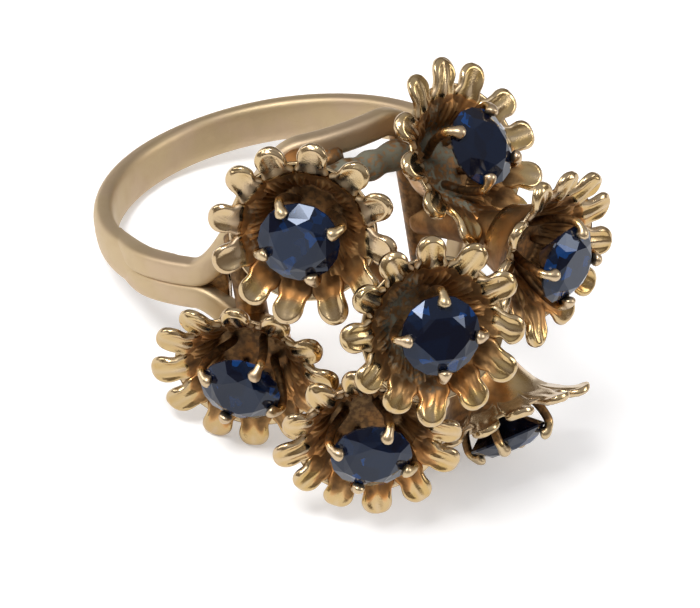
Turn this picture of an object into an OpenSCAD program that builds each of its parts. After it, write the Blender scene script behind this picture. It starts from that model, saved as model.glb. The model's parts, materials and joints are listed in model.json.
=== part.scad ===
// Cluster ring: a plain band whose forked shoulders rise into two arches,
// and a domed bouquet of seven petalled flower cups soldered on short stems,
// each cup holding one round cut stone in four claws.
// Millimetres, +Z up. The ring lies on its side on a flat surface at z = 0,
// on its band's lowest edge and the petals of two flowers.

/* [Band] */
// Inner diameter of the finger hole
finger_d = 17; // [14:0.5:22]
// Width of the band, along the finger
band_w = 2.2; // [1.8:0.1:3]
// Thickness of the band's wall
band_t = 1.05; // [0.9:0.05:1.6]
// Bevel along the band's edges
band_bevel = 0.2; // [0.1:0.05:0.3]

/* [Forked shoulders and arches] */
// Angle from the head's middle at which the band ends between the two arches
band_end_angle = 43; // [40:1:45]
// Angle from the head's middle at which the arches start, inside the band
arch_start_angle = 74; // [66:1:80]
// Angle from the head's middle at which the arches begin to part, on the left
arch_lead_left = 46; // [42:1:56]
// Angle from the head's middle at which the arches begin to part, on the right
arch_lead_right = 60; // [46:1:64]
// Angle over which an arch rises to its full height
arch_run = 40; // [36:1:42]
// Height of an arch's middle above the band's middle plane, at the head
arch_rise = 6.8; // [5:0.1:7]
// Width of an arch's strip, across its run
arch_w = 1.3; // [1.1:0.1:1.8]
// Thickness of an arch's strip
arch_t = 1.1; // [0.9:0.05:1.4]
// Thickness of the bars that join the two arches and carry stems
bar_d = 1.5; // [1.2:0.1:1.9]
// Angle of the two outer bars from the one in the middle
bar_angle = 28; // [22:1:32]
// Angle by which the middle bar leans, from its upper to its lower end
bar_lean = 14; // [0:1:16]
// Thickness of the strut from an upper flower's stem to the bar beside it
strut_d = 1.1; // [0.9:0.1:1.3]

/* [Flower cups] */
// Diameter of a flower over its petal tips
flower_d = 9.3; // [8.5:0.1:10]
// Number of petals on each flower
petals = 12; // [10:1:16]
// Depth of a cup, from the petal tips down to its foot
cup_h = 2.9; // [2.4:0.1:3.4]
// Diameter of a cup's foot
foot_d = 2.8; // [2.2:0.1:3.4]
// Thickness of the petals
petal_t = 0.32; // [0.25:0.01:0.45]
// Depth of the notch between two petals, in from the tips
notch = 0.95; // [0.5:0.05:1.2]
// Diameter of the stems under the cups
stem_d = 1.5; // [1.1:0.1:1.9]

/* [Stones and claws] */
// Diameter of a stone at its girdle
stone_d = 3.9; // [3:0.1:4.3]
// Height of a stone's girdle above the petal tips
stone_lift = 0.95; // [0.6:0.05:1.2]
// Height of a stone above its girdle
crown_h = 0.58; // [0.4:0.02:0.7]
// Depth of a stone below its girdle
pavilion_h = 1.65; // [1.2:0.05:1.8]
// Diameter of a stone's table
table_d = 2.2; // [1.6:0.1:2.6]
// Number of claws round each stone
claws = 4; // [4:1:6]
// Thickness of a claw's wire
claw_d = 0.56; // [0.4:0.02:0.7]
// Gap between a stone and the metal round it
stone_gap = 0.06; // [0.04:0.01:0.12]

/* [Hidden] */
$fn = 96;

GOLD = [0.80, 0.66, 0.45];
BLUE = [0.06, 0.09, 0.27];

finger_r = finger_d / 2;
band_r = finger_r + band_t;
flower_r = flower_d / 2;
stone_r = stone_d / 2;
girdle_h = 0.1;
wire_r = claw_d / 2;

// The seven flowers. The head of the ring points along -Y.
// across, up: place of the petal tips' middle, as shares of flower_d
// reach: how far that middle stands in front of the band, as a share of flower_d
// tilt: angle between the flower's axis and the head's axis
// turn: the side to which it tilts, from +X towards +Z
// spin: turn of its petals and claws about its own axis
// root: the angle from the head's middle at which its stem starts
// level: the height at which it starts: 1 on the upper arch, -1 on the lower
ACROSS = 0; REACH = 1; UP = 2; TILT = 3; TURN = 4; SPIN = 5; ROOT = 6; LEVEL = 7;
FLOWERS = [
    [-0.32, 0.60,  0.59, 26,  169, 60,  -8,         0.95],
    [ 0.72, 0.15,  0.56, 45,   41,  0,  bar_angle,  0.60],
    [ 0.93, 0.67,  0.12, 35,  -20, 30,  bar_angle,  0.20],
    [ 0.18, 1.00,  0.07,  9,   84, 35,  bar_lean/2, 0.00],
    [-0.63, 0.12, -0.36, 36, -154, 10, -bar_angle, -0.80],
    [-0.18, 0.73, -0.60, 22, -132, 15, -5,         -1.00],
    [ 0.63, 0.32, -0.91, 61,  -82, 84,  bar_angle, -0.60],
];
// The two flowers that the ring lies on
LYING_ON = [4, 6];

function unit(v) = v / norm(v);
function smooth(t) = t * t * (3 - 2 * t);
function clamp01(t) = max(0, min(1, t));

// The bars: the angles of their upper and lower ends
BARS = [[-bar_angle, -bar_angle], [0, bar_lean], [bar_angle, bar_angle]];

// A point on the ring: angle from the head's middle, radius and height
function ring_point(angle, r, z) = [r * sin(angle), -r * cos(angle), z];

// One flower's middle and axis, in the ring's own frame
function flower_middle(f) =
    [f[ACROSS] * flower_d, -(band_r + f[REACH] * flower_d), f[UP] * flower_d];
function flower_axis(f) =
    [sin(f[TILT]) * cos(f[TURN]), -cos(f[TILT]), sin(f[TILT]) * sin(f[TURN])];

// The flower's frame, turned by its spin: its two side vectors, axis and middle
function flower_frame(f) =
    let (axis = flower_axis(f), a = unit(cross([0, 0, 1], axis)), b = cross(axis, a),
         c = cos(f[SPIN]), s = sin(f[SPIN]))
    [c * a + s * b, c * b - s * a, axis, flower_middle(f)];
function in_flower(f, p) =
    let (m = flower_frame(f)) p[0] * m[0] + p[1] * m[1] + p[2] * m[2] + m[3];

// A closed tube through a list of rings of points. Each ring is listed
// counter-clockwise as seen from the tube's far end, looking back.
function tube_faces(n, m) = concat(
    [[for (j = [0:n - 1]) j]],
    [for (i = [0:m - 2], j = [0:n - 1])
        each [[i * n + j, (i + 1) * n + (j + 1) % n, i * n + (j + 1) % n],
              [i * n + j, (i + 1) * n + j, (i + 1) * n + (j + 1) % n]]],
    [[for (j = [n - 1:-1:0]) (m - 1) * n + j]]);
module tube(rings) {
    polyhedron(points = [for (ring = rings) each ring], faces = tube_faces(len(rings[0]), len(rings)));
}

// A round section of radius r at p, square to the direction d
function round_ring(p, d, r, n) =
    let (a = unit(cross(d, abs(d[2]) < 0.9 * norm(d) ? [0, 0, 1] : [1, 0, 0])),
         b = unit(cross(d, a)))
    [for (j = [0:n - 1]) p + r * (cos(j * 360 / n) * a + sin(j * 360 / n) * b)];

// The band, open between the two arches at the head
module band() {
    rotate([0, 0, -90 + band_end_angle])
        rotate_extrude(angle = 360 - 2 * band_end_angle, $fn = 180)
            translate([finger_r, -band_w / 2])
                polygon([[0, band_bevel], [band_bevel, 0],
                         [band_t - band_bevel, 0], [band_t, band_bevel],
                         [band_t, band_w - band_bevel], [band_t - band_bevel, band_w],
                         [band_bevel, band_w], [0, band_w - band_bevel]]);
}

// Height of an arch's middle over the ring's plane, at an angle from the head
arch_low = (band_w - arch_w) / 2 + 0.15;
function arch_height(angle) =
    let (lead = angle < 0 ? arch_lead_left : arch_lead_right)
    arch_low + (arch_rise - arch_low) * smooth(clamp01((lead - abs(angle)) / arch_run));
arch_in = finger_r + 0.14;
function arch_ring(angle, side) =
    let (climb = side * (arch_height(angle + 0.5) - arch_height(angle - 0.5)),
         run = unit([cos(angle), sin(angle), climb / (arch_in * PI / 180)]),
         out = [sin(angle), -cos(angle), 0],
         up = cross(out, run),
         p = ring_point(angle, arch_in + arch_t / 2, side * arch_height(angle)))
    [p - up * arch_w / 2 - out * arch_t / 2, p + up * arch_w / 2 - out * arch_t / 2,
     p + up * arch_w / 2 + out * arch_t * 0.35, p + up * arch_w * 0.3 + out * arch_t / 2,
     p - up * arch_w * 0.3 + out * arch_t / 2, p - up * arch_w / 2 + out * arch_t * 0.35];
module arch(side) {
    steps = 26;
    tube([for (i = [0:steps])
        arch_ring(-arch_start_angle + 2 * arch_start_angle * i / steps, side)]);
}

// A bar between the two arches, set a little proud of them
arch_mid = arch_in + arch_t / 2;
module bar(ends) {
    steps = 4;
    low = -arch_height(ends[1]);
    high = arch_height(ends[0]);
    tube([for (i = [0:steps]) let (t = i / steps)
        round_ring(ring_point(ends[1] + (ends[0] - ends[1]) * t, arch_mid + 0.2 * bar_d,
                              low + (high - low) * t), [0, 0, 1], bar_d / 2, 8)]);
}

// A stem curves from an arch or a bar into a cup's foot and widens to it
function curve(p, t) = let (s = 1 - t)
    s * s * s * p[0] + 3 * s * s * t * p[1] + 3 * s * t * t * p[2] + t * t * t * p[3];
function curve_run(p, t) = let (s = 1 - t)
    unit(s * s * (p[1] - p[0]) + 2 * s * t * (p[2] - p[1]) + t * t * (p[3] - p[2]));
function stem_path(f) =
    let (axis = flower_axis(f),
         foot = flower_middle(f) - (cup_h - 0.45) * axis,
         root = ring_point(f[ROOT], arch_mid + 0.1, f[LEVEL] * arch_height(f[ROOT])),
         pull = norm(foot - root) / 3,
         out = ring_point(f[ROOT], 1, 0))
    [root, root + pull * out, foot - pull * axis, foot];
module stem(f) {
    path = stem_path(f);
    steps = 5;
    tube([for (i = [0:steps]) let (t = i / steps)
        round_ring(curve(path, t), curve_run(path, t),
                   stem_d / 2 + (0.42 * foot_d - stem_d / 2) * pow(t, 3), 8)]);
}

// A strut bows out from the stem of the first flower to the bar under the second
module strut() {
    from = curve(stem_path(FLOWERS[0]), 0.5);
    to = ring_point(bar_angle, arch_mid + 0.2 * bar_d, 0.8 * arch_height(bar_angle));
    top = (from + to) / 2 + [0, -0.5, 0.15];
    tube([round_ring(from, top - from, strut_d / 2, 8),
          round_ring(top, to - from, strut_d / 2, 8),
          round_ring(to, to - top, strut_d / 2, 8)]);
}

// A flower cup about +Z, with its petal tips at z = 0.
// Each ring is [radius, height, how much of the notch it takes]; the first
// four run up the outside and the rest down the inside.
CUP = [
    [foot_d / 2, -cup_h, 0],
    [foot_d / 2 + 0.13 * flower_r, -0.58 * cup_h, 0],
    [0.64 * flower_r, -0.27 * cup_h, 0.1],
    [flower_r, -petal_t * 0.5, 1],
    [flower_r - petal_t * 0.3, petal_t * 0.5, 1],
    [0.61 * flower_r, -0.27 * cup_h + petal_t * 1.15, 0.1],
    [foot_d / 2 + 0.09 * flower_r, -0.58 * cup_h + petal_t, 0],
    [foot_d / 2 * 0.72, -cup_h + 1.0, 0],
];
// Four points a petal: the notch, one side, the tip and the other side
NOTCH_SHARE = [1, 0.16, 0, 0.16];
RIDGE_SHARE = [-1, 0.6, -0.2, 0.6];
ridge = 0.14;
function cup_ring(c) =
    [for (k = [0:4 * petals - 1])
        let (a = k * 90 / petals, j = k % 4, r = c[0] - c[2] * notch * NOTCH_SHARE[j])
        [r * cos(a), r * sin(a), c[1] + c[2] * ridge * RIDGE_SHARE[j] * sign(c[2])]];
module cup() {
    tube([for (c = CUP) cup_ring(c)]);
}

// One claw in the plane of +X and +Z: up the inside of the cup, past the
// girdle and over the crown
function claw_rings() =
    let (clear = stone_r + stone_gap + wire_r,
         crown_slope = crown_h / (stone_r - table_d / 2),
         tip_r = stone_r - 0.22,
         tip_z = stone_lift + girdle_h / 2 + (stone_r - tip_r) * crown_slope + wire_r + stone_gap)
    [round_ring([0.36 * foot_d - 0.1, 0, -cup_h + 0.75], [0.2, 0, 1], wire_r, 6),
     round_ring([clear * 0.86, 0, stone_lift - 1.35], [0.25, 0, 1], wire_r, 6),
     round_ring([clear, 0, stone_lift], [0, 0, 1], wire_r, 6),
     round_ring([clear - 0.1, 0, tip_z - 0.12], [-0.5, 0, 0.8], wire_r, 6),
     round_ring([tip_r, 0, tip_z], [-1, 0, 0.25], wire_r * 0.75, 6)];
function claw_turn(k) = (k + 0.5) * 360 / claws;
module claw() {
    tube(claw_rings());
}

// A round cut stone about +Z, with its girdle's middle at z = 0: a table, eight
// stars, eight crown facets, a girdle of sixteen flats and eight pavilion facets
FACETS = 8;
function stone_ring(r, z, n, turn) = [for (k = [0:n - 1])
    [r * cos((k + turn) * 360 / n), r * sin((k + turn) * 360 / n), z]];
module stone() {
    n = FACETS;
    star_r = table_d / 2 + (stone_r - table_d / 2) * 0.42;
    star_z = crown_h * 0.66;
    table = 0;
    star = n;
    top = 2 * n;
    low = 4 * n;
    culet = 6 * n;
    polyhedron(
        points = concat(stone_ring(table_d / 2, girdle_h / 2 + crown_h, n, 0.5),
                        stone_ring(star_r, girdle_h / 2 + star_z, n, 0),
                        stone_ring(stone_r, girdle_h / 2, 2 * n, 0),
                        stone_ring(stone_r, -girdle_h / 2, 2 * n, 0),
                        [[0, 0, -girdle_h / 2 - pavilion_h]]),
        faces = concat(
            [[for (k = [n - 1:-1:0]) table + k]],
            [for (k = [0:n - 1]) let (m = (k + 1) % n, g = 2 * k, h = (2 * k + 2) % (2 * n))
                each [[table + k, star + m, star + k],
                      [table + k, table + m, star + m],
                      [star + k, top + g + 1, top + g],
                      [star + k, star + m, top + g + 1],
                      [star + m, top + h, top + g + 1],
                      [low + g, low + g + 1, culet],
                      [low + g + 1, low + h, culet]]],
            [for (k = [0:2 * n - 1]) let (m = (k + 1) % (2 * n))
                each [[top + k, top + m, low + m], [top + k, low + m, low + k]]]));
}

module place(f) {
    m = flower_frame(f);
    multmatrix([for (i = [0:2]) [m[0][i], m[1][i], m[2][i], m[3][i]]]) children();
}

module flower(f) {
    place(f) {
        cup();
        for (k = [0:claws - 1]) rotate([0, 0, claw_turn(k)]) claw();
    }
}

// How the ring lies: the plane under the band and two flowers. Each pass finds
// the lowest point of each of the three for the last plane, and tilts it to them.
function tip_points(f) = [for (i = [3, 4], p = cup_ring(CUP[i])) in_flower(f, p)];
function lowest(points, up) =
    let (h = [for (p = points) p * up], low = min(h))
    [for (i = [0:len(points) - 1]) if (h[i] == low) points[i]][0];
function band_low(up) =
    let (side = norm([up[0], up[1]]),
         edges = [[band_r, band_bevel - band_w / 2], [band_r - band_bevel, -band_w / 2]])
    lowest([for (e = edges) [-e[0] * up[0] / side, -e[0] * up[1] / side, e[1]]], up);
function plane_up(p) = unit(cross(p[1] - p[0], p[2] - p[0]));
function lying_points(up) =
    [band_low(up), lowest(tip_points(FLOWERS[LYING_ON[0]]), up),
     lowest(tip_points(FLOWERS[LYING_ON[1]]), up)];
function lying_up(up, passes) =
    passes == 0 ? up : lying_up(plane_up(lying_points(up)), passes - 1);
rest_up = lying_up([0.27, -0.37, 0.89], 12);
rest_y = unit([0, 1, 0] - rest_up[1] * rest_up);
rest_x = cross(rest_y, rest_up);

function turned(p, a) = [p[0] * cos(a) - p[1] * sin(a), p[0] * sin(a) + p[1] * cos(a), p[2]];

// How far the ring reaches towards e, to put the origin under its middle
function reach(e) =
    max([each [for (f = FLOWERS, p = tip_points(f)) p * e],
         each [for (f = FLOWERS, k = [0:claws - 1], ring = claw_rings(), p = ring)
             in_flower(f, turned(p, claw_turn(k))) * e],
         band_r * norm([e[0], e[1]]) + (band_w / 2 - band_bevel) * abs(e[2])]);
middle_x = (reach(rest_x) - reach(-rest_x)) / 2;
middle_y = (reach(rest_y) - reach(-rest_y)) / 2;
floor_z = lying_points(rest_up)[0] * rest_up;

module lying() {
    multmatrix([[rest_x[0], rest_x[1], rest_x[2], -middle_x],
                [rest_y[0], rest_y[1], rest_y[2], -middle_y],
                [rest_up[0], rest_up[1], rest_up[2], -floor_z]]) children();
}

module ring_mount() {
    color(GOLD) lying() {
        band();
        arch(1);
        arch(-1);
        for (ends = BARS) bar(ends);
        strut();
        for (f = FLOWERS) {
            stem(f);
            flower(f);
        }
    }
}

module sapphire(i) {
    color(BLUE) lying() place(FLOWERS[i - 1]) translate([0, 0, stone_lift]) stone();
}

ring_mount();
for (i = [1:7]) sapphire(i);
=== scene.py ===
import json
import bmesh
import bpy
import numpy as np
from mathutils import Matrix

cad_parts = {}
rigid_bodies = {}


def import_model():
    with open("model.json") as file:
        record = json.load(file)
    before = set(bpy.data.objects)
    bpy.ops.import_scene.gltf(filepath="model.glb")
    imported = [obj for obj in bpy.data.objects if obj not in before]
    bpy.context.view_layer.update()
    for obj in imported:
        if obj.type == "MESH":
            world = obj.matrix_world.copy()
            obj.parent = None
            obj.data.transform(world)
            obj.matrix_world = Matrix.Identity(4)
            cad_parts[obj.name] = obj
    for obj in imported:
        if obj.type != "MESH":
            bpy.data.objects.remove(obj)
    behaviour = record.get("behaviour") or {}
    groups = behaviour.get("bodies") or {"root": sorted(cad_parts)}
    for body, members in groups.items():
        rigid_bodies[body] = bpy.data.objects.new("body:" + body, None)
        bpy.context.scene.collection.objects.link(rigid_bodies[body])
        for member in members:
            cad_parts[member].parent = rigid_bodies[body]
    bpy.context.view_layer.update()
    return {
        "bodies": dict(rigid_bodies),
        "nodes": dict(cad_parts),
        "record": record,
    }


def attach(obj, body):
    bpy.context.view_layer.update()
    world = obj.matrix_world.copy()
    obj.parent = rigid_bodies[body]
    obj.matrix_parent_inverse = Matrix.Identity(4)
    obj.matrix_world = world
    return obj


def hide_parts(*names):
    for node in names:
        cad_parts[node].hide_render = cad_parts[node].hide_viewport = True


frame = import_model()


# How the ring lies
# The ring is drawn upright in millimetres, the finger along z and the head of
# flowers towards -y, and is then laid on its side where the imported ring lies.
finger_hole = frame["record"]["mounts"][0]
finger_axis = np.array(finger_hole["axis"])
away_from_head = np.cross(finger_axis, [1, 0, 0])
away_from_head /= np.linalg.norm(away_from_head)
ring_axes = np.stack([np.cross(away_from_head, finger_axis), away_from_head, finger_axis])
mm = 0.001


def lay(upright):
    """Places in the upright ring, in mm, as places in the row's frame, in metres."""
    return finger_hole["pos_m"] + upright @ ring_axes * mm


def raise_up(lying):
    """The way back: places in the row's frame as places in the upright ring."""
    return (lying - finger_hole["pos_m"]) @ ring_axes.T / mm


# Worn yellow gold
# All the metal is one low-carat gold: rubbed bright and pinkish where fingers
# reach it, with dull green dirt round the stones. The browns in the hollows and
# between the parts are tarnish with painted shade, the orange there is also a
# painted reflection of gold on gold, and the near-black is painted shade.
class Socket:
    """A shader socket on which Python's operators add Math nodes."""

    def __init__(self, tree, socket):
        self.tree, self.socket = tree, socket

    def maths(self, operation, *values):
        made = self.tree.node("ShaderNodeMath", {"operation": operation}, values)
        return made["Value"]

    def __add__(self, other):
        return self.maths("ADD", self, other)

    def __mul__(self, other):
        return self.maths("MULTIPLY", self, other)

    def __sub__(self, other):
        return self.maths("SUBTRACT", self, other)

    def __rsub__(self, other):
        return self.maths("SUBTRACT", other, self)

    __radd__ = __add__
    __rmul__ = __mul__

    def between(self, low, high):
        """0 up to low, 1 from high, and a smooth rise between."""
        made = self.tree.node("ShaderNodeMapRange", {"interpolation_type": "SMOOTHSTEP"},
                              {"Value": self, "From Min": low, "From Max": high})
        return made["Result"]


class Finish:
    """The node tree of a material or a world: one method adds any node."""

    def __init__(self, owner):
        self.owner = owner
        owner.use_nodes = True
        self.nodes = owner.node_tree.nodes
        self.links = owner.node_tree.links
        self.nodes.clear()

    def node(self, kind, settings=(), sockets=()):
        """Adds a node, sets its settings, then fills its sockets by name or in order."""
        made = self.nodes.new(kind)
        for key, value in dict(settings).items():
            setattr(made, key, value)
        names = sockets.items() if isinstance(sockets, dict) else enumerate(sockets)
        for key, value in names:
            if isinstance(key, str):
                target = next(s for s in made.inputs if s.name == key and s.enabled)
            else:
                target = made.inputs[key]
            if isinstance(value, Socket):
                self.links.new(value.socket, target)
            else:
                target.default_value = value
        return {s.name: Socket(self, s) for s in made.outputs if s.enabled}

    def mix(self, share, first, second):
        """The colour a share of the way from the first to the second."""
        colours = [(*c, 1) if isinstance(c, tuple) else c for c in (first, second)]
        made = self.node("ShaderNodeMix", {"data_type": "RGBA"},
                         {"Factor": share, "A": colours[0], "B": colours[1]})
        return made["Result"]

    def noise(self, size_mm, detail=3.0):
        """Noise on Object coordinates with blotches of a size in mm."""
        place = self.node("ShaderNodeTexCoord")["Object"]
        return self.node("ShaderNodeTexNoise", {},
                         {"Vector": place, "Scale": 1000 / size_mm, "Detail": detail})["Fac"]

    def value(self, name):
        """A mask that a piece's mesh carries as an attribute; 0 where it has none."""
        return self.node("ShaderNodeAttribute", {"attribute_name": name})["Fac"]

    def finish(self, **sockets):
        """Ends the tree in a Principled shader; a socket's spaces are written as _."""
        sockets = {name.replace("_", " "): value for name, value in sockets.items()}
        shader = self.node("ShaderNodeBsdfPrincipled", {}, sockets)
        self.node("ShaderNodeOutputMaterial", {}, {"Surface": shader["BSDF"]})
        return self.owner


PALE = (0.51, 0.395, 0.24)
ROSY = (0.51, 0.385, 0.275)
TAN = (0.48, 0.325, 0.125)
AMBER = (0.60, 0.24, 0.05)
UMBER = (0.20, 0.115, 0.055)
# A near-black brown: painted shade for the deepest and most hidden places.
SHADE_BROWN = (0.09, 0.055, 0.03)
VERDIGRIS = (0.15, 0.145, 0.105)

gold = Finish(bpy.data.materials.new("worn_and_shaded_gold"))
patches = gold.noise(2.6).between(0.35, 0.68)
stains = gold.noise(0.9, detail=5).between(0.45, 0.70)
specks = gold.noise(0.28, detail=4).between(0.40, 0.62)
# Each mesh carries two masks. The first is 0 on satin gold and 0.15 where it is
# polished; about 0.5 is amber and umber, tarnish with painted shade, and 1 is
# near-black painted shade. The second, grime, is crust.
finish_and_shade = gold.value("finish_and_shade")
grime = gold.value("grime")
colour = gold.mix(patches * 0.6, PALE, ROSY)
colour = gold.mix(finish_and_shade.between(0.05, 0.30) * (0.6 + stains * 0.4), colour, TAN)
# Amber in the hollows: tarnish with a painted reflection of gold bouncing on gold.
colour = gold.mix(finish_and_shade.between(0.40, 0.75) * (0.35 + patches * 0.55), colour, AMBER)
# Umber: tarnish with painted shade in the hollows and between the parts.
colour = gold.mix(finish_and_shade.between(0.50, 0.80) * (0.35 + stains * 0.60), colour, UMBER)
# Near-black painted shade on the cup floors, the gallery and the claws' feet.
colour = gold.mix(finish_and_shade.between(0.80, 1.0) * (0.50 + specks * 0.40), colour, SHADE_BROWN)
crust = (grime * (0.45 + patches * 0.55) * (0.60 + specks * 0.40)).between(0.30, 0.58)
colour = gold.mix(crust, colour, VERDIGRIS)
grain = gold.noise(0.10, detail=2) * 0.35 + gold.noise(0.55, detail=2) * 0.65
dents = gold.node("ShaderNodeBump", {}, {"Height": grain + specks * crust, "Strength": 0.16,
                                         "Distance": 0.1 * mm})
satin_gold, polish = 0.52, finish_and_shade.between(0.03, 0.15) * 0.31
dullness = finish_and_shade.between(0.5, 0.85) * 0.28
worn_and_shaded_gold = gold.finish(Base_Color=colour, Metallic=1 - crust * 0.9, Normal=dents["Normal"],
                        Roughness=satin_gold - polish + stains * 0.06 + dullness + crust * 0.4)


# Shank
# The plain band that the finger goes through: a strip of gold, flat inside and
# softly domed outside, which ends in a thin sunk web in each shoulder's fork.
finger_r = finger_hole["dims"]["r_mm"]
band_w, band_t = 2.2, 1.05
shoulder_swell, swell_run = 0.12, 60
web_run, web_only, web_sink = 11, 8, 0.5
body = list(frame["bodies"])[0]
welded_within = 0.002 * mm


def piece(name, shells, masks=None):
    """Joins tubes into one piece of gold. A shell is an array of (tube, ring,
    point, xyz) in mm, whose points run round the tube; masks give each point a
    value from 0 to 1."""
    places, quads, start = [], [], 0
    for shell in shells:
        index = start + np.arange(shell[..., 0].size).reshape(shell.shape[:3])
        beside = np.roll(index, -1, axis=2)
        quads.append(np.stack([index[:, :-1], beside[:, :-1], beside[:, 1:], index[:, 1:]], -1))
        places.append(shell.reshape(-1, 3))
        start += index.size
    places = lay(np.concatenate(places))
    quads = np.concatenate([q.reshape(-1, 4) for q in quads])
    mesh = bpy.data.meshes.new(name)
    mesh.vertices.add(len(places))
    mesh.vertices.foreach_set("co", places.ravel())
    mesh.loops.add(quads.size)
    mesh.loops.foreach_set("vertex_index", quads.ravel().astype(np.int32))
    mesh.polygons.add(len(quads))
    mesh.polygons.foreach_set("loop_start", np.arange(0, quads.size, 4, dtype=np.int32))
    mesh.polygons.foreach_set("loop_total", np.full(len(quads), 4, dtype=np.int32))
    mesh.update(calc_edges=True)
    for mask, values in (masks or {}).items():
        layer = mesh.attributes.new(mask, "FLOAT", "POINT")
        layer.data.foreach_set("value", np.concatenate([v.ravel() for v in values]))
    work = bmesh.new()
    work.from_mesh(mesh)
    bmesh.ops.remove_doubles(work, verts=work.verts, dist=welded_within)
    bmesh.ops.recalc_face_normals(work, faces=work.faces)
    for face in work.faces:
        face.smooth = True
    work.to_mesh(mesh)
    work.free()
    mesh.materials.append(worn_and_shaded_gold)
    made = bpy.data.objects.new(name, mesh)
    bpy.context.scene.collection.objects.link(made)
    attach(made, body)
    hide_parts("ring_mount")


def softened(turns, squareness):
    """A circle squared off: the cosine and sine of the turn, each raised to a
    power under 1 with its sign kept."""
    c, s = np.cos(turns), np.sin(turns)
    return np.sign(c) * np.abs(c) ** squareness, np.sign(s) * np.abs(s) ** squareness


def smooth(share):
    """A rise from 0 at a share of 0 to 1 at a share of 1, level at both ends."""
    share = np.clip(share, 0, 1)
    return share * share * (3 - 2 * share)


def ring_point(angle, radius, height):
    """A place at an angle in degrees from the head's middle."""
    a = np.radians(angle)
    return np.stack(np.broadcast_arrays(radius * np.sin(a), -radius * np.cos(a), height), -1)


# The arches' size is needed here, because the web fills the wedge between them.
# The two strips part at the forks, in degrees from the head's middle.
arch_w, arch_t = 1.3, 1.1
arch_low = (band_w - arch_w) / 2 + 0.15
arch_high, arch_climb = 6.8, 40
right_fork, left_fork = 60, 46


def arch_height(angle):
    """The arch's height over the ring's plane: low beside the shank, then a
    smooth climb towards the head, which starts nearer to it on the left."""
    fork = np.where(angle < 0, left_fork, right_fork)
    return arch_low + (arch_high - arch_low) * smooth((fork - np.abs(angle)) / arch_climb)


around = np.linspace(0, 2 * np.pi, 48, endpoint=False)
out_share, side_share = softened(around, 0.5)
angle = np.linspace(right_fork - web_run, 360 - left_fork + web_run, 480)[:, None]
from_end = np.minimum(angle - angle[0], angle[-1] - angle)
full_w = band_w / 2 * (1 + shoulder_swell * smooth(1 - from_end / swell_run))
between_arches = arch_height(np.where(angle > 180, angle - 360, angle)) - 0.05
grown = smooth((from_end - web_only) / 12)
half_w = full_w * grown + between_arches * (1 - grown)
half_w = half_w * np.sqrt(1 - (1 - np.clip(from_end / 3, 0, 1)) ** 2)
dome = 0.10 * side_share ** 2 * (out_share > 0)
wave = 0.02 * np.sin(np.radians(angle) * 3 + 1) + 0.012 * np.sin(np.radians(angle) * 7)
sunk = (web_sink * (1 - smooth((from_end - 6) / 8)) + dome - wave) * (out_share > 0)
band = ring_point(angle, finger_r + band_t / 2 * (1 + out_share) - sunk, half_w * side_share)
# The sunk web is darkened as painted shade, with some tarnish, where it lies between the arches.
web_shade = (1 - smooth((from_end - web_only) / 6)) * (out_share > -0.3)
piece("shank", [band[None]], {"finish_and_shade": [web_shade]})


# Forked shoulders and arches
# Two flat strips part from the shank on each side and spring over the finger as
# two arches, which carry the head. Each grows out of the shank's side as it parts.
arch_mid = finger_r + 0.14 + arch_t / 2
arch_end, sink_from, slim_from, root_run = 86, 62, 66, 20
root_sink, root_slim = 0.30, 0.25


def arch(side):
    """A strip with a soft rectangular section, square to the arch's run, which
    sinks and slims towards its two roots in the shank."""
    angle = np.linspace(-arch_end, arch_end, 260)
    sunk = root_sink * smooth((np.abs(angle) - sink_from) / root_run)
    middle = ring_point(angle, arch_mid - sunk, side * arch_height(angle))
    run = np.gradient(middle, axis=0)
    run /= np.linalg.norm(run, axis=1, keepdims=True)
    out = ring_point(angle, 1.0, 0.0)
    up = np.cross(out, run)
    up /= np.linalg.norm(up, axis=1, keepdims=True)
    slim = (1 - root_slim * smooth((np.abs(angle) - slim_from) / root_run))[:, None, None]
    out_share, up_share = (share[None, :, None] for share in softened(around, 0.55))
    strip = middle[:, None] + slim * (out[:, None] * out_share * arch_t / 2
                                      + up[:, None] * up_share * arch_w / 2)
    ends = middle[[0, -1], None] + 0 * strip[[0, -1]]
    return np.concatenate([ends[:1], strip, ends[1:]])


for name, side in (("upper_arch", 1), ("lower_arch", -1)):
    piece(name, [arch(side)[None]])


# Bars, strut and stems
# Round gold bars are soldered between the arches, and a curved stem runs from an
# arch or a bar to each flower's foot. A lumpy strut ties the first stem to a bar.
bar_d, strut_d, stem_d = 1.5, 1.4, 1.5
bar_angle, bar_lean = 28, 14
bar_mid = arch_mid + 0.2 * bar_d
bar_solder, root_solder = 0.12, 0.15
stem_sunk = 0.45
flower_d, cup_h, foot_d = 9.3, 2.9, 2.8
stone_lift = 0.95

# For each flower: how far it is turned about its axis, and where its stem springs
# from, as an angle round the ring and a share of the arch's height there.
flower_spins = (60, 0, 30, 35, 10, 15, 84)
stem_roots = (-8, bar_angle, bar_angle, bar_lean / 2, -bar_angle, -5, bar_angle)
stem_levels = (0.95, 0.60, 0.20, 0.0, -0.8, -1.0, -0.60)


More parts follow.
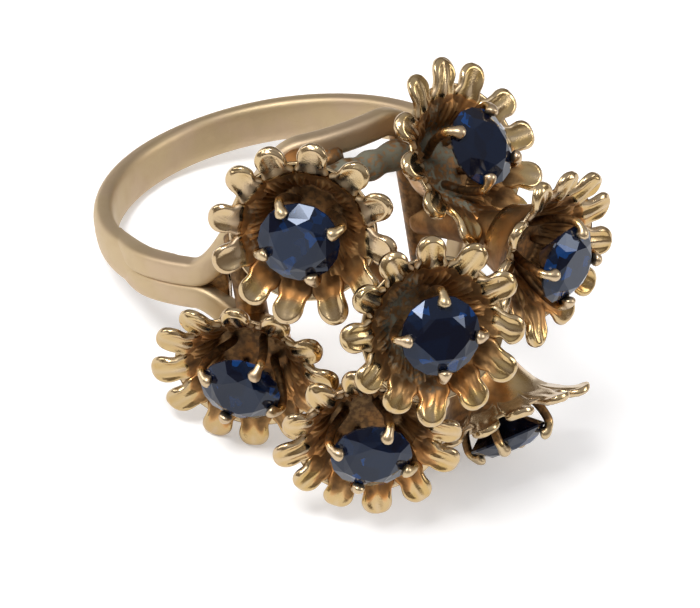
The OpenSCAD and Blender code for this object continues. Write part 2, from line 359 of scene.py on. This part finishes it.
def flower_frame(number):
    """A flower's two side directions, its axis and the middle of its tips, from
    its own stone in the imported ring: the axis is the direction in which the stone
    spreads least, and points away from the culet, its farthest corner."""
    mesh = frame["nodes"]["sapphire_%d" % number].data
    corners = np.empty(len(mesh.vertices) * 3)
    mesh.vertices.foreach_get("co", corners)
    corners = np.unique(raise_up(corners.reshape(-1, 3)).round(3), axis=0)
    centre = corners.mean(axis=0)
    axis = np.linalg.svd(corners - centre)[2][2]
    along = (corners - centre) @ axis
    if along.max() > -along.min():
        axis, along = -axis, -along
    from_axis = np.linalg.norm(corners - centre - along[:, None] * axis, axis=1)
    girdle = corners[from_axis > from_axis.max() - 0.03].mean(axis=0)
    side = np.cross([0, 0, 1], axis)
    side /= np.linalg.norm(side)
    beside = np.cross(axis, side)
    spin = np.radians(flower_spins[number - 1])
    return np.stack([np.cos(spin) * side + np.sin(spin) * beside,
                     np.cos(spin) * beside - np.sin(spin) * side,
                     axis, girdle - stone_lift * axis])


flower_frames = [flower_frame(number) for number in range(1, 8)]


def tube(path, radius, points=28, ends=0.5):
    """A round tube: a circle of the given radius at each place of a path, square
    to its run, and drawn in to a point at each end as a quarter circle."""
    share = np.linspace(0, 1, len(path))[:, None]
    run = np.gradient(path, axis=0)
    run /= np.linalg.norm(run, axis=1, keepdims=True)
    side = np.cross(run, np.eye(3)[np.argmin(np.abs(run).max(axis=0))])
    side /= np.linalg.norm(side, axis=1, keepdims=True)
    beside = np.cross(run, side)
    turn = np.linspace(0, 2 * np.pi, points, endpoint=False)[None, :, None]
    circle = side[:, None] * np.cos(turn) + beside[:, None] * np.sin(turn)
    length = np.linalg.norm(np.diff(path, axis=0), axis=1).sum()
    from_end = np.minimum(share, 1 - share) * length / ends
    radius = radius * np.sqrt(1 - (1 - np.clip(from_end, 0, 1)) ** 2)
    return path[:, None] + circle * radius[..., None]


def curve(p0, p1, p2, p3, share):
    """A Bezier curve through its four points."""
    s = 1 - share
    return s ** 3 * p0 + 3 * s * s * share * p1 + 3 * s * share ** 2 * p2 + share ** 3 * p3


steps = np.linspace(0, 1, 60)[:, None]
bars = []
for high_angle, low_angle in ((-bar_angle, -bar_angle), (0, bar_lean), (bar_angle, bar_angle)):
    low, high = -arch_height(low_angle), arch_height(high_angle)
    place = ring_point(low_angle + (high_angle - low_angle) * steps[:, 0], bar_mid,
                       low + (high - low) * steps[:, 0])
    solder = bar_solder * (np.exp(-steps / 0.10) + np.exp(-(1 - steps) / 0.10))
    bars.append(tube(place, bar_d / 2 + solder)[None])
# The bars are painted in near-black shade because they lie under the flowers; their grime is crust.
piece("gallery_bars", bars, {"finish_and_shade": [np.full(b.shape[:3], 0.97) for b in bars],
                             "grime": [np.full(b.shape[:3], 0.45) for b in bars]})

stems, stem_curves = [], []
for (side, beside, axis, middle), root_angle, level in zip(flower_frames, stem_roots, stem_levels):
    foot = middle - (cup_h - stem_sunk) * axis
    root = ring_point(root_angle, arch_mid + 0.1, level * arch_height(root_angle))
    pull = np.linalg.norm(foot - root) / 3
    stem_curves.append((root, root + pull * ring_point(root_angle, 1.0, 0.0), foot - pull * axis, foot))
    flare = (0.46 * foot_d - stem_d / 2) * steps ** 3 + root_solder * np.exp(-steps / 0.12)
    stems.append(tube(curve(*stem_curves[-1], steps), stem_d / 2 + flare)[None])
strut_from = curve(*stem_curves[0], 0.5)
strut_to = ring_point(bar_angle, bar_mid, 0.8 * arch_height(bar_angle))
strut_bow = (strut_from + strut_to) / 2 + [0, -0.75, 0.22]
strut_path = curve(strut_from, strut_bow, strut_bow, strut_to, steps)
lumps = 0.06 * np.sin(steps * 23)
stems.append(tube(strut_path, strut_d / 2 + lumps)[None])
crusted = [np.zeros(s.shape[:3]) for s in stems]
crusted[-1] += 0.9
# The stems are painted dark as shade under the flowers; the strut also carries crust.
piece("stems", stems, {"grime": crusted, "finish_and_shade": [0.90 + 0 * c for c in crusted]})


# Flower cups
# Each flower is a trumpet of thin cast gold, its brim cut into twelve spoon petals.
# A raised rim runs round each petal's hollow, and its folds run down into the cup.
petals = 12
wall, brim_wall = 0.30, 0.12
foot_r, petal_root, brim_r, tip_r = 1.62, 2.55, 3.2, flower_d / 2
throat_r, throat_h, throat_run, brim_z = 1.6, 3.0, 0.95, 0.10
floor_z = -1.9
petal_half, rim_h, fold_h, flute_h = 0.68, 0.30, 0.13, 0.03
# Hollow is the mask's value inside the cups: tarnish with painted shade.
polished, hollow = 0.15, 0.84
cup_shade_r, satin_r = 3.0, 3.32
luck = np.random.default_rng(7)

# For each flower: how dirty its cup is, how far its tips hang in mm, how much
# painted shade darkens its outside, and how deep its folds are.
grimy = (0.50, 0.70, 0.30, 0.85, 0.45, 0.35, 0.2)
droops = (0.08, 0.06, 0.02, 0.14, 0.12, 0.16, 0.06)
outside_shade = (0.1, 0.6, 1.0, 0.5, 0.1, 0.3, 1.0)
fold_sizes = (0.35, 0.8, 1.5, 1.15, 1.0, 1.3, 0.8)


def trumpet(radius):
    """The height of the trumpet's outside over its tips' middle: it nears the
    brim's height as an exponential."""
    return brim_z - throat_h * np.exp(-(radius - throat_r) / throat_run)


def trumpet_lean(radius):
    """How far the trumpet's wall leans: the sine and cosine of its slope."""
    slope = throat_h / throat_run * np.exp(-(radius - throat_r) / throat_run)
    return slope / np.sqrt(1 + slope ** 2), 1 / np.sqrt(1 + slope ** 2)


def stand(flower, x, y, z):
    """Places in a flower's own frame as places in the ring."""
    side, beside, axis, middle = flower
    return middle + x[..., None] * side + y[..., None] * beside + z[..., None] * axis


def bowl_shell(flower, side_shade):
    """The cup as one closed shell turned about its axis: up the outside to the
    brim, then down the inside to a flat floor. The wall's thickness waves round
    the inside, once a petal and four times a petal, between the foot and the
    petals' roots, and thins to the brim. Painted shade darkens the outside of
    the flower's left half, and the inside carries tarnish with painted shade."""
    turn = np.linspace(0, 2 * np.pi, 288, endpoint=False)[None, :]
    radius = foot_r + (brim_r + 0.35 - foot_r) * np.linspace(0, 1, 22)[:, None]
    lean, flat = trumpet_lean(radius)
    waves = 0.35 * np.cos(petals * turn) + 0.30 * np.cos(4 * petals * turn)
    inner = wall * (0.85 + waves * smooth((radius - foot_r) / 0.9) * (1 - smooth((radius - 2.5) / 0.5)))
    inner = brim_wall + (inner - brim_wall) * (1 - smooth((radius - 2.6) / 0.6))
    inside_r = radius - inner * lean
    inside_z = np.maximum(trumpet(radius) + inner * flat, floor_z)
    floor_r = np.array([[0.9], [0.5], [0.0]]) + 0 * turn
    under_r = np.array([[0.0], [1.1], [1.48]]) + 0 * turn
    reach = np.concatenate([under_r, radius + 0 * turn, inside_r[::-1], floor_r])
    height = np.concatenate([0 * under_r - cup_h, trumpet(radius) + 0 * turn, inside_z[::-1],
                             0 * floor_r + floor_z - 0.02])
    shell = stand(flower, reach * np.cos(turn), reach * np.sin(turn), height)
    outside_rows = slice(len(under_r), len(under_r) + len(radius))
    # The outside: tarnish with painted shade near the foot, painted shade over the middle of the left
    # half, satin at the brim.
    side_shade = side_shade * smooth(0.6 - (shell - flower[3])[outside_rows, :, 0] / 4)
    outside = 0.6 - (0.6 - side_shade) * smooth((radius - 1.7) / 0.9)
    outside = outside - (side_shade - 0.1) * smooth((radius - 2.9) / 0.5)
    # Inside the cup: tarnish with painted shade, near-black towards the foot and fading to polish at the
    # brim.
    inside = (hollow + (1 - hollow) * smooth((2.1 - inside_r[::-1]) / 0.5)
              - (hollow - polished) * smooth((inside_r[::-1] - 2.95) / 0.25))
    # Painted shade in the valleys of the flutes inside the cup.
    crease_shade = 0.20 * (waves < -0.25) * smooth((radius[::-1] - 2) / 0.8)
    # The underside is tarnish with painted shade, and the floor is near-black painted shade.
    finish_and_shade = np.concatenate([0 * under_r + 0.5, outside, inside + crease_shade, 1 + 0 * floor_r])
    return shell[None], np.clip(finish_and_shade, 0, 1)[None]


def petal_shells(flower, droop, fold):
    """Twelve petals as flat tubes, open at their roots inside the cup's wall and
    closed at their tips. The half width narrows to a neck, widens again and
    rounds off. The height over the wall is a power of the outline, as in a spoon,
    plus a lengthwise fold in the middle as a cosine across the petal, and fine
    flutes inside the cup. The cup's tarnish and painted shade reach farther out
    on the petals that point down, as painted shade on their lower side, and
    painted shade darkens the furrows between the folds."""
    rings, points = 34, 21
    along = 1 - (1 - np.linspace(0, 1, rings)[None, :, None]) ** 1.5
    count = (petals, 1, 1)
    length = 1 + luck.normal(0, 0.025, count)
    droop = droop + luck.normal(0, 0.10, count)
    sway = luck.normal(0, 0.03, count)
    twist = luck.normal(0, 0.10, count)
    depth_luck = 1 + luck.normal(0, 0.15, count)
    fold_luck = fold * (1 + luck.normal(0, 0.25, count))
    lip = np.sin(np.linspace(-np.pi / 2, np.pi / 2, points))
    across = np.concatenate([lip, lip[-2:0:-1]])[None, None, :]
    top = np.concatenate([np.ones(points), -np.ones(points - 2)])[None, None, :]
    radius = petal_root + (tip_r * length - petal_root) * along
    free = np.clip((radius - brim_r) / (tip_r * length - brim_r), 0, 1)
    half = np.minimum(np.pi / petals * radius,
                      petal_half + 0.14 * (1 - smooth(free / 0.20)) + 0.06 * smooth((free - 0.15) / 0.4))
    half = half * np.sqrt(1 - np.clip((free - 0.45) / 0.55, 0, 1) ** 2.3)
    turn = 2 * np.pi * (np.arange(petals)[:, None, None] + 0.5) / petals + sway * smooth(free * 2)
    towards_tip = np.clip((free - 0.15) / 0.85, 0, 1)
    outline = np.minimum((np.abs(across) ** 2.6 + towards_tip ** 2.6) ** (1 / 2.6), 1)
    rim = rim_h * depth_luck * outline ** 2.2 * (1 - 0.55 * smooth((outline - 0.80) / 0.20))
    rim = rim * (0.40 + 0.60 * smooth(free / 0.45))
    folds = 0.5 + 0.5 * np.cos(2 * np.pi * across)
    ridges = fold_h * fold_luck * folds * (1 - towards_tip ** 1.5) * (np.abs(across) < 0.5)
    flutes = flute_h * np.cos(4 * np.pi * across) * (1 - smooth((radius - 2.9) / 0.3))
    relief = (rim + ridges + flutes) * smooth((radius - petal_root) / 0.7)
    relief = relief * np.where(top > 0, 1.0, 0.55 * smooth(free * 2.5))
    emerged = smooth((radius - petal_root) / 0.6)
    rounded = np.sqrt(1 - np.abs(across) ** 8) * np.sqrt(1 - free ** 14)
    spread = wall * (0.3 + 0.2 * emerged) * rounded * top
    lean, flat = trumpet_lean(radius)
    off = relief + spread + wall * (0.42 - 0.07 * emerged)
    lateral = half * across
    reach = radius - off * lean
    height = trumpet(radius) + off * flat - droop * free ** 2 - 0.06 * free ** 5
    height = height + twist * lateral * smooth(free)
    x = reach * np.cos(turn) - lateral * np.sin(turn)
    y = reach * np.sin(turn) + lateral * np.cos(turn)
    leaf = stand(flower, x, y, height)
    # How far a petal points down: there the painted shade reaches farther out, as shade on the side away
    # from the light.
    low = smooth(-(leaf - flower[3])[..., 2] / 3)
    satin = 0.11 * np.exp(-((radius - satin_r) / 0.30) ** 2) * (1 - low)
    # The cup's tarnish and painted shade end in a ring round the brim; past it the petals are polished.
    clear_of_cup_shade = smooth((radius - cup_shade_r - 0.1 * low) / (0.18 + 0.9 * low))
    cup_tarnish_and_shade = hollow - (hollow - polished) * clear_of_cup_shade
    finish_and_shade = np.where(top > 0, cup_tarnish_and_shade - satin, polished)
    # Painted shade in the furrows beside each petal's lengthwise fold.
    furrow_shade = (1 - folds) * (np.abs(across) < 0.8) * (top > 0) * (1 - free) ** 0.7
    return leaf, np.clip(finish_and_shade + 0.5 * min(fold ** 2, 1) * furrow_shade, 0, 0.9)


for number, flower in enumerate(flower_frames, 1):
    dirt, droop, fold = grimy[number - 1], droops[number - 1], fold_sizes[number - 1]
    bowl, bowl_depth = bowl_shell(flower, outside_shade[number - 1])
    leaves, leaf_depth = petal_shells(flower, droop, fold)
    dirty = [dirt * (1 - smooth((np.linalg.norm(shell - flower[3], axis=-1) - 2.4) / 1.5))
             * (deep > 0.4) * smooth(0.65 - (shell - flower[3])[..., 0] / 2.5)
             for shell, deep in ((bowl, bowl_depth), (leaves, leaf_depth))]
    piece("flower_%d" % number, [bowl, leaves], {"finish_and_shade": [bowl_depth, leaf_depth], "grime": dirty})


# Claws
# Four gold wires stand inside each cup. Each bends in over the girdle of the
# stone and ends in a rounded bead pressed on the crown.
stone_r, crown_h, table_r, girdle_h = 1.95, 0.58, 1.1, 0.1
claw_r, bead_r, bead_reach = 0.22, 0.33, 1.55


def claw_shells(flower):
    """Four turned copies of a wire along two Bezier curves, up past the girdle and
    in over the crown, which swells into a bead at its tip."""
    slope = crown_h / (stone_r - table_r)
    crown_under_bead = stone_lift + girdle_h / 2 + (stone_r - bead_reach) * slope
    bead = np.array([bead_reach, 0, crown_under_bead + 0.12])
    clear = stone_r + 0.02 + claw_r
    foot, shoulder = np.array([1.0, 0, -2.0]), np.array([clear, 0, stone_lift - 0.15])
    path = np.concatenate([
        curve(foot, np.array([1.35, 0, -1.2]), np.array([clear - 0.1, 0, -0.3]), shoulder, steps[:-1]),
        curve(shoulder, shoulder + [0.02, 0, 0.32], bead + [0.38, 0, 0.10], bead, steps)])
    along = np.linspace(0, 1, len(path))[:, None]
    swell = claw_r + (bead_r - claw_r) * smooth((along - 0.72) / 0.2)
    wire = tube(path, swell, points=20, ends=0.3)
    shells = []
    for quarter in range(4):
        turn = np.radians(45 + 90 * quarter) + luck.normal(0, 0.06)
        size = 1 + luck.normal(0, 0.02)
        x = wire[..., 0] * np.cos(turn) - wire[..., 1] * np.sin(turn)
        y = wire[..., 0] * np.sin(turn) + wire[..., 1] * np.cos(turn)
        shells.append(stand(flower, x * size, y * size, wire[..., 2]))
    return np.stack(shells)


for number, (flower, dirt) in enumerate(zip(flower_frames, grimy), 1):
    wires = claw_shells(flower)
    above = (wires - flower[3]) @ flower[2]
    # The wires are painted near-black below the girdle, as painted shade deep in the cup with some dirt;
    # only the beads stay bright.
    shaded_below_girdle = 0.10 + 0.90 * (1 - smooth((above - 0.75) / 0.50))
    piece("claws_%d" % number, [wires], {"finish_and_shade": [shaded_below_girdle],
                                         "grime": [0.6 * dirt * (1 - smooth((above + 0.4) / 1.0))]})


# Sapphires
# Seven round cut stones of a very dark blue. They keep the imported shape: a table,
# stars, crown facets, girdle and pavilion, polished flat.
NAVY = (0.002, 0.003, 0.010)
INK = (0.002, 0.006, 0.020)
ROYAL = (0.003, 0.030, 0.120)

blue = Finish(bpy.data.materials.new("sapphire"))
place = blue.node("ShaderNodeTexCoord")["Object"]
facet_patch_size, painted_glint_size = 1.0 * mm, 0.55 * mm
facet_shading = blue.node("ShaderNodeTexVoronoi", {}, {"Vector": place, "Scale": 1 / facet_patch_size})["Color"]
painted_glints = blue.node("ShaderNodeTexVoronoi", {}, {"Vector": place, "Scale": 1 / painted_glint_size})["Color"]
# Cells of navy and ink are painted facet shading, as if facets were lit differently.
colour = blue.mix(facet_shading.between(0.35, 0.60), NAVY, INK)
# Spots of royal blue are painted glints of light inside the stone.
colour = blue.mix(painted_glints.between(0.64, 0.74) * facet_shading.between(0.48, 0.68), colour, ROYAL)
sapphire = blue.finish(Base_Color=colour, Roughness=0.05, IOR=1.46, Specular_Tint=(0.7, 0.8, 1, 1))
for number in range(1, 8):
    stone = frame["nodes"]["sapphire_%d" % number].data
    stone.materials.clear()
    stone.materials.append(sapphire)


# Floor, light and camera
# A seamless white sheet that glows a little, as paper lit from below does, a soft
# light over it and a weaker one to each side. The camera looks down from 300 mm.
sheet_half, sheet_glow = 1.5, 0.24
camera_lens, film_w = 311.7, 36

# The camera's angles in the upright ring are measured from the head's middle and
# from the ring's plane, and it aims at a place beside and below the finger hole.
camera_turn, camera_height, camera_roll = -13.4, 27.2, -9.3
camera_aside, camera_below, camera_away = 3.196, 5.322, 300.0

camera_data = bpy.data.cameras.new("camera")
camera_data.lens, camera_data.sensor_width = camera_lens, film_w
camera_data.clip_start, camera_data.clip_end = 0.01, 10
camera = bpy.data.objects.new("camera", camera_data)
bpy.context.scene.collection.objects.link(camera)
turn, height, roll = np.radians([camera_turn, camera_height, camera_roll])
backward = np.array([np.sin(turn) * np.cos(height), -np.cos(turn) * np.cos(height), np.sin(height)])
level = np.array([np.cos(turn), np.sin(turn), 0])
over = np.cross(backward, level)
camera_axes = np.stack([np.cos(roll) * level + np.sin(roll) * over,
                        np.cos(roll) * over - np.sin(roll) * level, backward])
camera_place = lay(np.array([camera_aside, -camera_below, camera_away]) @ camera_axes)
camera_turned = Matrix((camera_axes @ ring_axes).T.tolist()).to_4x4()
camera.matrix_world = Matrix.Translation(camera_place) @ camera_turned
bpy.context.scene.camera = camera

paper = Finish(bpy.data.materials.new("white_paper"))
white = paper.mix(paper.noise(60).between(0.3, 0.7), (0.90, 0.90, 0.90), (0.93, 0.93, 0.93))
sheet = bpy.data.meshes.new("floor")
sheet.from_pydata([(sheet_half * x, sheet_half * y, 0) for x, y in ((-1, -1), (1, -1), (1, 1), (-1, 1))],
                  [], [(0, 1, 2, 3)])
sheet.materials.append(paper.finish(Base_Color=white, Roughness=0.9, Emission_Color=(1, 1, 1, 1),
                                    Emission_Strength=sheet_glow))
floor = bpy.data.objects.new("floor", sheet)
bpy.context.scene.collection.objects.link(floor)

# The room is bright overhead and dim towards the horizon, which draws dark
# lines in the gold.
bpy.context.scene.view_settings.view_transform = "Standard"
room = Finish(bpy.data.worlds.new("studio"))
bpy.context.scene.world = room.owner
towards = room.node("ShaderNodeTexCoord")["Generated"]
height = room.node("ShaderNodeSeparateXYZ", {}, {"Vector": towards})["Z"]
sky = room.mix(height.between(0.15, 0.85), (0.21, 0.17, 0.13), (0.54, 0.54, 0.56))
glow = room.node("ShaderNodeBackground", {}, {"Color": sky, "Strength": 1.0})
room.node("ShaderNodeOutputWorld", {}, {"Surface": glow["Background"]})

for name, azimuth, height, distance, size, watts in (
        ("over", -64, 60, 0.45, 0.14, 1.3),
        ("left", -110, 30, 0.45, 0.22, 0.6),
        ("right", 70, 35, 0.50, 0.20, 0.7)):
    lamp = bpy.data.lights.new(name, "AREA")
    lamp.size, lamp.energy = size, watts
    light = bpy.data.objects.new(name, lamp)
    bpy.context.scene.collection.objects.link(light)
    a, h = np.radians(azimuth), np.radians(height)
    towards = np.array([np.sin(a) * np.cos(h), -np.cos(a) * np.cos(h), np.sin(h)])
    facing = np.cross([0, 0, 1], towards)
    facing /= np.linalg.norm(facing)
    axes = np.stack([facing, np.cross(towards, facing), towards], axis=1)
    light.matrix_world = Matrix.Translation(towards * distance) @ Matrix(axes.tolist()).to_4x4()
